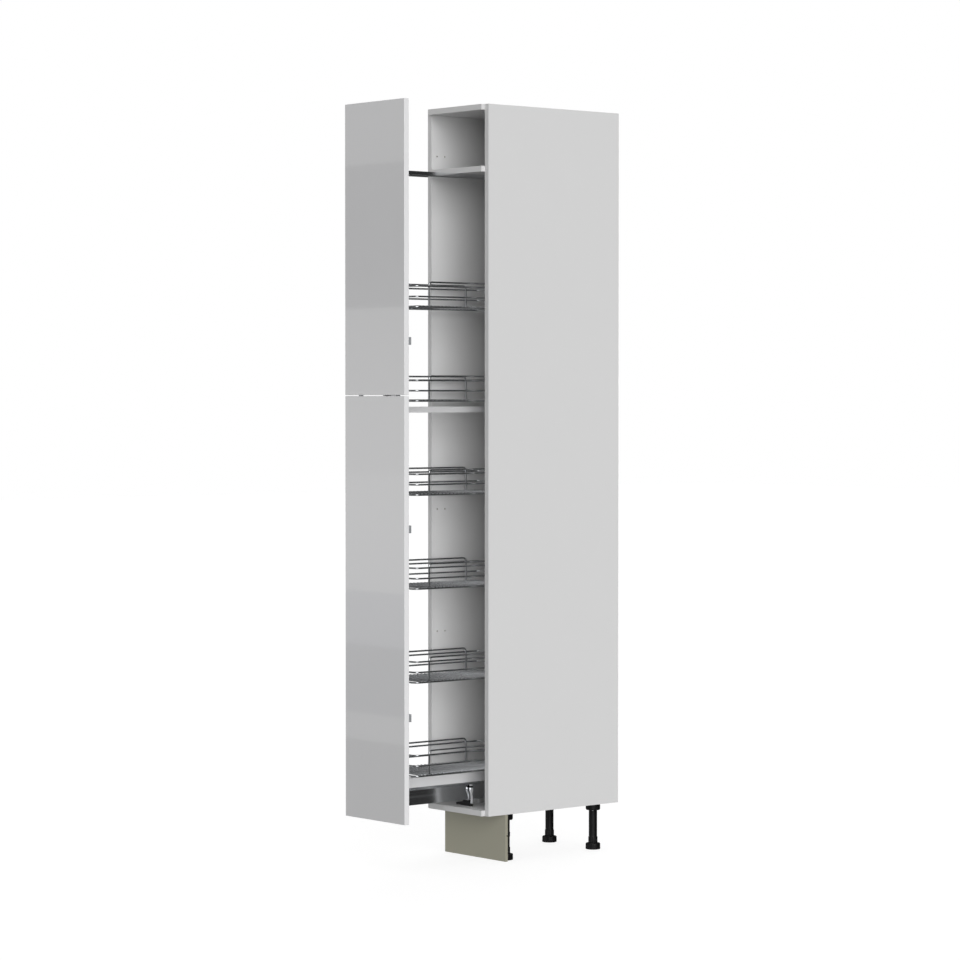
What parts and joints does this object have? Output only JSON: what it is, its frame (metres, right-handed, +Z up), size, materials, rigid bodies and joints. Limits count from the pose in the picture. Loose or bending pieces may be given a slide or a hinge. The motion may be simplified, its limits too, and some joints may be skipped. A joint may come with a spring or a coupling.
{
  "type": "pull out larder unit",
  "caption": "Tall narrow kitchen larder cabinet whose gloss fronts, steel frame and chrome wire baskets pull out together on top and floor runners.",
  "frame": {"origin": "on the floor, under the middle of the unit as it stands pulled out by 302 mm", "axes": "+Z up, +X to the right as seen from in front of the doors, -Y towards the user: the pull-out runs out along -Y"},
  "size_m": [0.3, 0.888, 2.385],
  "materials": {
    "melamine": "pale grey-white melamine-faced chipboard, fine matt texture, edge-banded",
    "back_board": "white lacquered hardboard",
    "gloss_front": "high-gloss light grey lacquered board",
    "plinth_foil": "grey-brown satin foil on thin board",
    "black_plastic": "black moulded plastic, satin",
    "grey_plastic": "grey moulded plastic, satin",
    "bright_chrome": "bright chrome plate on steel",
    "dark_chrome": "polished nickel-chrome on rolled steel",
    "zinc_plate": "bright zinc plate, satin",
    "grey_paint": "light grey powder coat on steel",
    "soft_buffer": "clear soft bumper"
  },
  "bodies": {
    "cabinet": {"side_left": "melamine", "side_right": "melamine", "bottom_panel": "melamine", "top_panel": "melamine", "fixed_shelf": "melamine", "back_panel": "back_board", "leg_front_left": "black_plastic", "leg_front_right": "black_plastic", "leg_rear_left": "black_plastic", "leg_rear_right": "black_plastic", "plinth_panel": "plinth_foil", "plinth_clip_left": "black_plastic", "plinth_clip_right": "black_plastic", "floor_runner_rail": "zinc_plate", "runner_front_block": "black_plastic", "runner_rear_block": "black_plastic", "runner_front_casting": "bright_chrome", "soft_close_housing": "grey_plastic", "top_runner_rail": "zinc_plate"},
    "pullout": {"floor_runner_cover": "dark_chrome", "soft_close_catch": "zinc_plate", "top_runner_cover": "dark_chrome", "front_post": "grey_paint", "rear_post": "grey_paint", "floor_rail": "grey_paint", "mid_rail": "grey_paint", "door_bracket_left_1": "zinc_plate", "door_bracket_left_2": "zinc_plate", "door_bracket_left_3": "zinc_plate", "door_joint_plate_left": "zinc_plate", "door_buffer_bottom_left": "soft_buffer", "door_buffer_top_left": "soft_buffer", "door_bracket_right_1": "zinc_plate", "door_bracket_right_2": "zinc_plate", "door_bracket_right_3": "zinc_plate", "door_joint_plate_right": "zinc_plate", "door_buffer_bottom_right": "soft_buffer", "door_buffer_top_right": "soft_buffer", "floor_door_bracket": "zinc_plate", "top_door_bracket": "zinc_plate", "door_lower": "gloss_front", "door_upper": "gloss_front", "basket_1": "bright_chrome", "basket_2": "bright_chrome", "basket_3": "bright_chrome", "basket_4": "bright_chrome", "basket_5": "bright_chrome", "basket_6": "bright_chrome"},
    "foot_front_left": {"foot_front_left": "black_plastic"},
    "foot_front_right": {"foot_front_right": "black_plastic"},
    "foot_rear_left": {"foot_rear_left": "black_plastic"},
    "foot_rear_right": {"foot_rear_right": "black_plastic"},
    "height_wheel": {"height_wheel": "black_plastic"},
    "floor_runner_middle": {"floor_runner_middle": "zinc_plate"},
    "top_runner_middle": {"top_runner_middle": "zinc_plate"}
  },
  "joints": [
    {"name": "pullout_slide", "type": "slide", "parent": "cabinet", "child": "pullout", "axis": [0, -1, 0], "range_m": [-0.302, 0.168]},
    {"name": "floor_runner_middle_slide", "type": "slide", "parent": "cabinet", "child": "floor_runner_middle", "axis": [0, -1, 0], "range_m": [-0.1512, 0.0842]},
    {"name": "top_runner_middle_slide", "type": "slide", "parent": "cabinet", "child": "top_runner_middle", "axis": [0, -1, 0], "range_m": [-0.1512, 0.0842]},
    {"name": "height_wheel_turn", "type": "hinge", "parent": "cabinet", "child": "height_wheel", "pos_m": [0.0275, -0.0765, 0.2313], "axis": [0, 0, 1], "continuous": true},
    {"name": "foot_front_left_turn", "type": "hinge", "parent": "cabinet", "child": "foot_front_left", "pos_m": [-0.107, -0.001, 0.01], "axis": [0, 0, 1], "continuous": true},
    {"name": "foot_front_right_turn", "type": "hinge", "parent": "cabinet", "child": "foot_front_right", "pos_m": [0.107, -0.001, 0.01], "axis": [0, 0, 1], "continuous": true},
    {"name": "foot_rear_left_turn", "type": "hinge", "parent": "cabinet", "child": "foot_rear_left", "pos_m": [-0.107, 0.373, 0.01], "axis": [0, 0, 1], "continuous": true},
    {"name": "foot_rear_right_turn", "type": "hinge", "parent": "cabinet", "child": "foot_rear_right", "pos_m": [0.107, 0.373, 0.01], "axis": [0, 0, 1], "continuous": true}
  ],
  "couplings": [
    {"joint": "floor_runner_middle_slide", "follows": "pullout_slide", "ratio": 0.5},
    {"joint": "top_runner_middle_slide", "follows": "pullout_slide", "ratio": 0.5}
  ]
}
